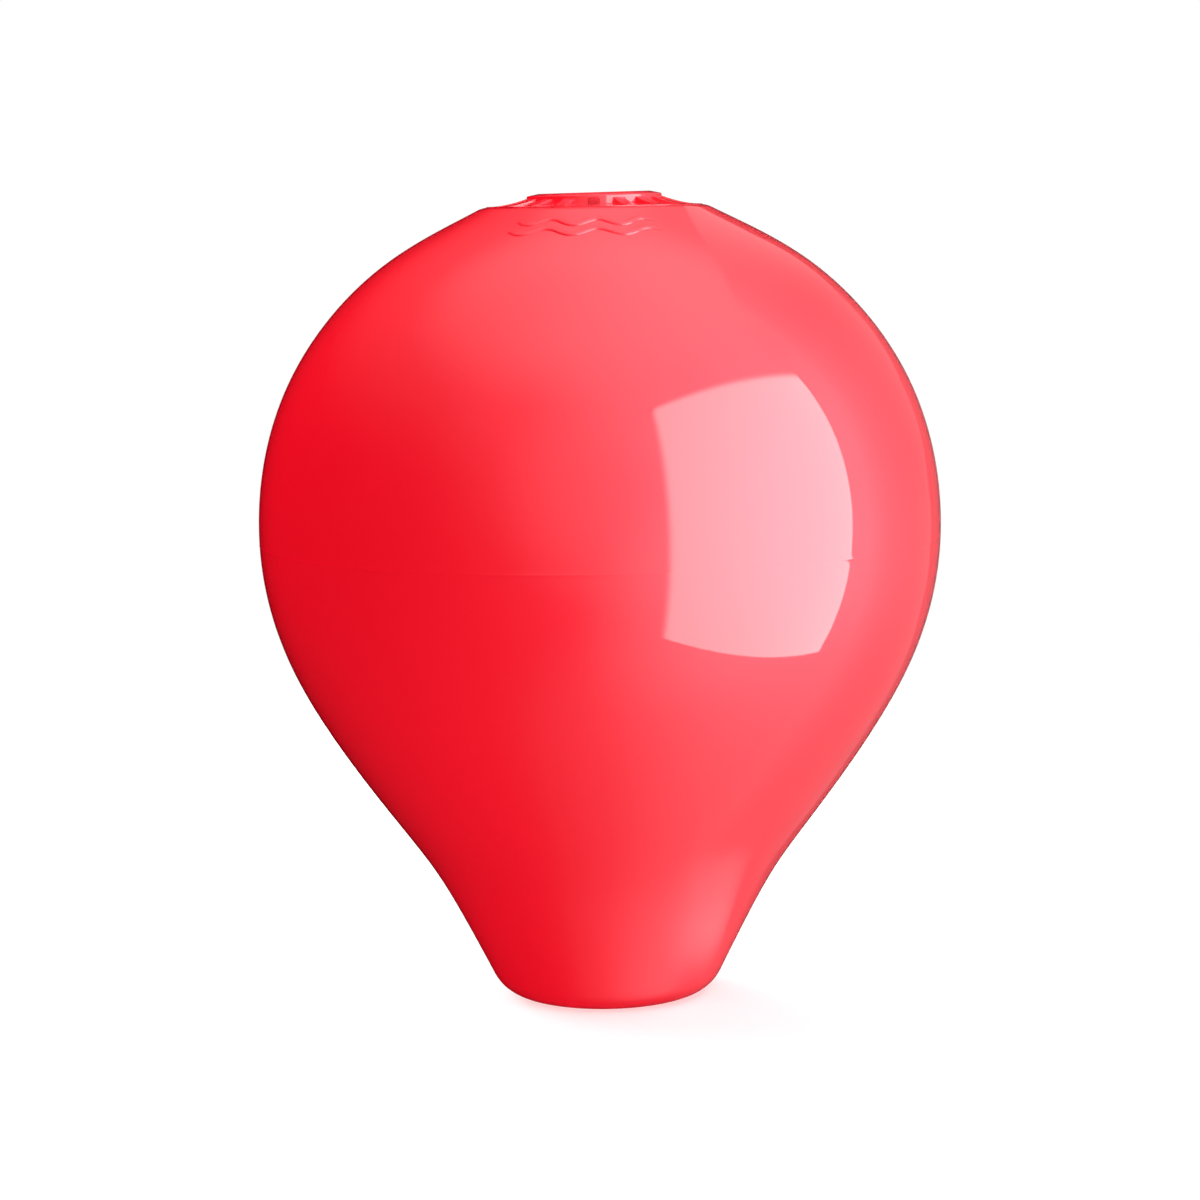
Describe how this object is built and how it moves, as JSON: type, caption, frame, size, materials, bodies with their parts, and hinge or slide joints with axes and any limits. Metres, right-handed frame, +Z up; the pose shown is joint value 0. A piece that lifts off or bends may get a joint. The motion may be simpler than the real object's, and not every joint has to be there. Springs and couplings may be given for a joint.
{
  "type": "inflatable marker buoy",
  "caption": "Red inflatable vinyl buoy, an upside-down teardrop with a rigid centre tube for a mooring rod or chain and moulded collars at the crown and the foot.",
  "frame": {"origin": "on the floor under the middle of the foot", "axes": "+Z up the centre tube, -Y towards the front, +X to the right seen from the front; the valve is behind, at +Y"},
  "size_m": [0.432, 0.432, 0.5126],
  "materials": {
    "float_vinyl": "glossy moulded red vinyl",
    "collar_vinyl": "glossy moulded red vinyl",
    "tube_pvc": "satin extruded pvc",
    "valve_nylon": "satin moulded nylon",
    "seal_rubber": "dull"
  },
  "bodies": {
    "root": {"float_shell": "float_vinyl", "top_collar": "collar_vinyl", "foot_collar": "collar_vinyl", "centre_tube": "tube_pvc", "valve_body": "valve_nylon", "valve_seal": "seal_rubber", "valve_plug": "valve_nylon"}
  },
  "joints": []
}
